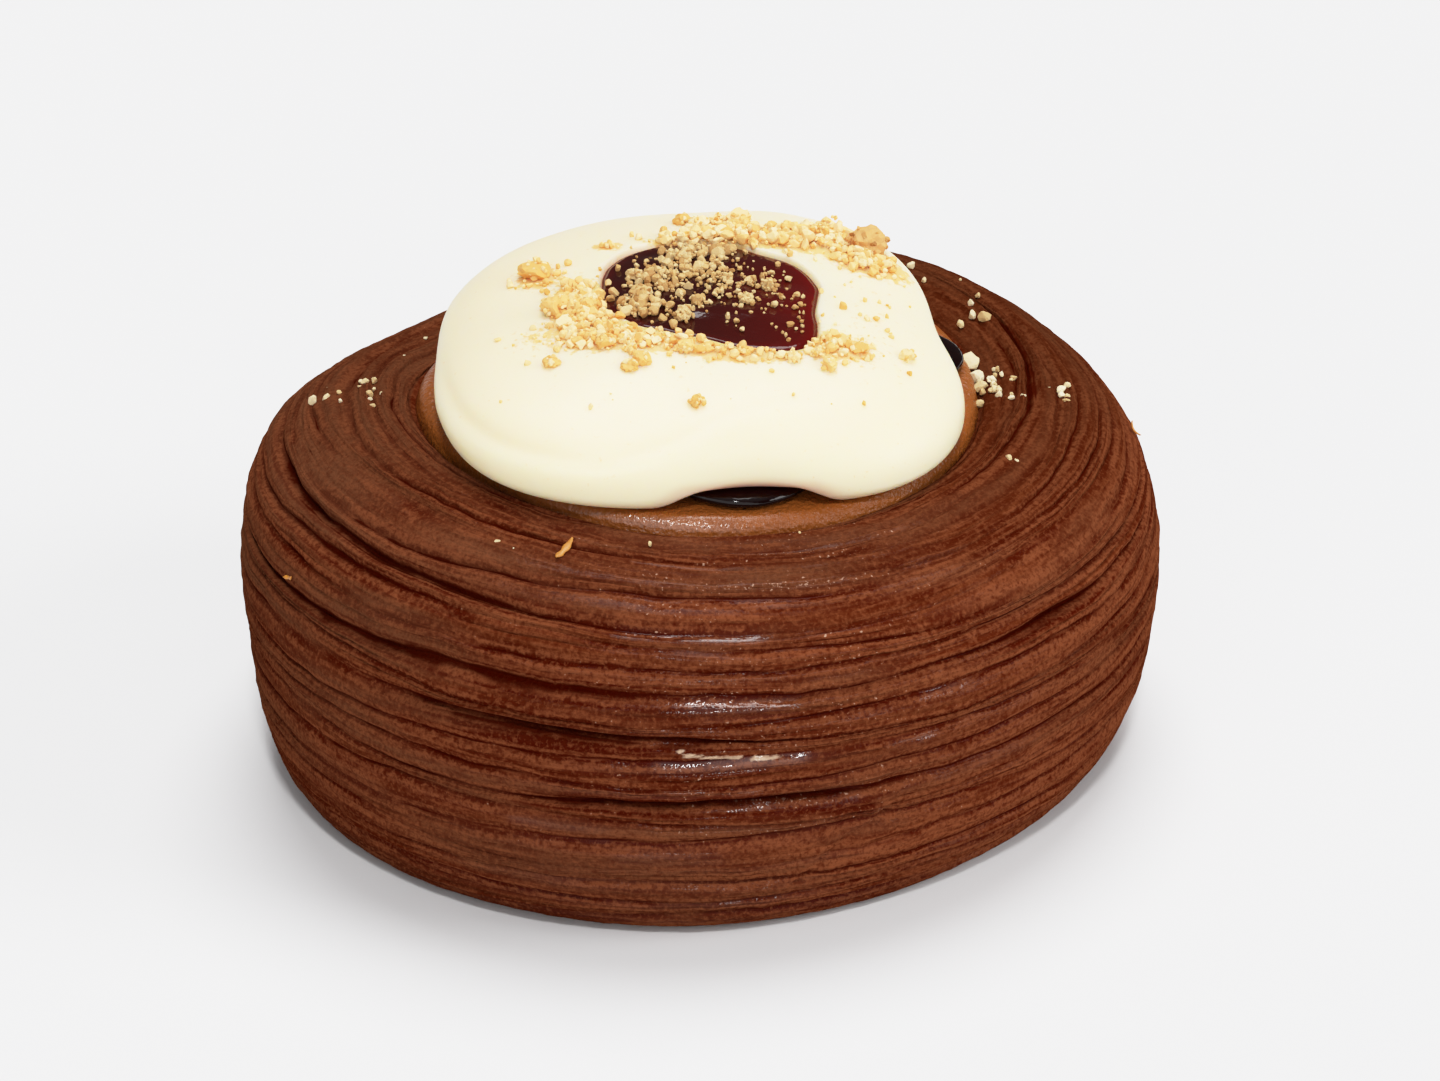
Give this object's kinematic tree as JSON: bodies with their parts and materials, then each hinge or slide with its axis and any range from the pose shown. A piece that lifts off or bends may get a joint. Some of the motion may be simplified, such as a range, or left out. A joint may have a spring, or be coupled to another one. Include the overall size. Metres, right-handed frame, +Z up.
{
  "type": "chocolate danish pastry",
  "caption": "Round coiled chocolate danish with ribbed laminated walls, a cream-filled dish on top, a dollop of white cream, cherry jam and golden crumble.",
  "frame": {"origin": "on the table, under the middle of the drum's box", "axes": "+Z up, -Y towards the side that the picture shows, +X to that side's right"},
  "size_m": [0.1053, 0.104, 0.0583],
  "materials": {
    "chocolate_dough": "baked laminated chocolate dough with a thin sugar glaze",
    "chocolate_cream": "smooth milk chocolate cream, half gloss",
    "cherry_jam": "dark glossy cherry jam",
    "white_cream": "soft ivory whipped cream with golden crumble"
  },
  "bodies": {
    "root": {"dough": "chocolate_dough", "chocolate_cream": "chocolate_cream", "jam_layer": "cherry_jam", "white_cream": "white_cream", "jam_pool": "cherry_jam"}
  },
  "joints": []
}
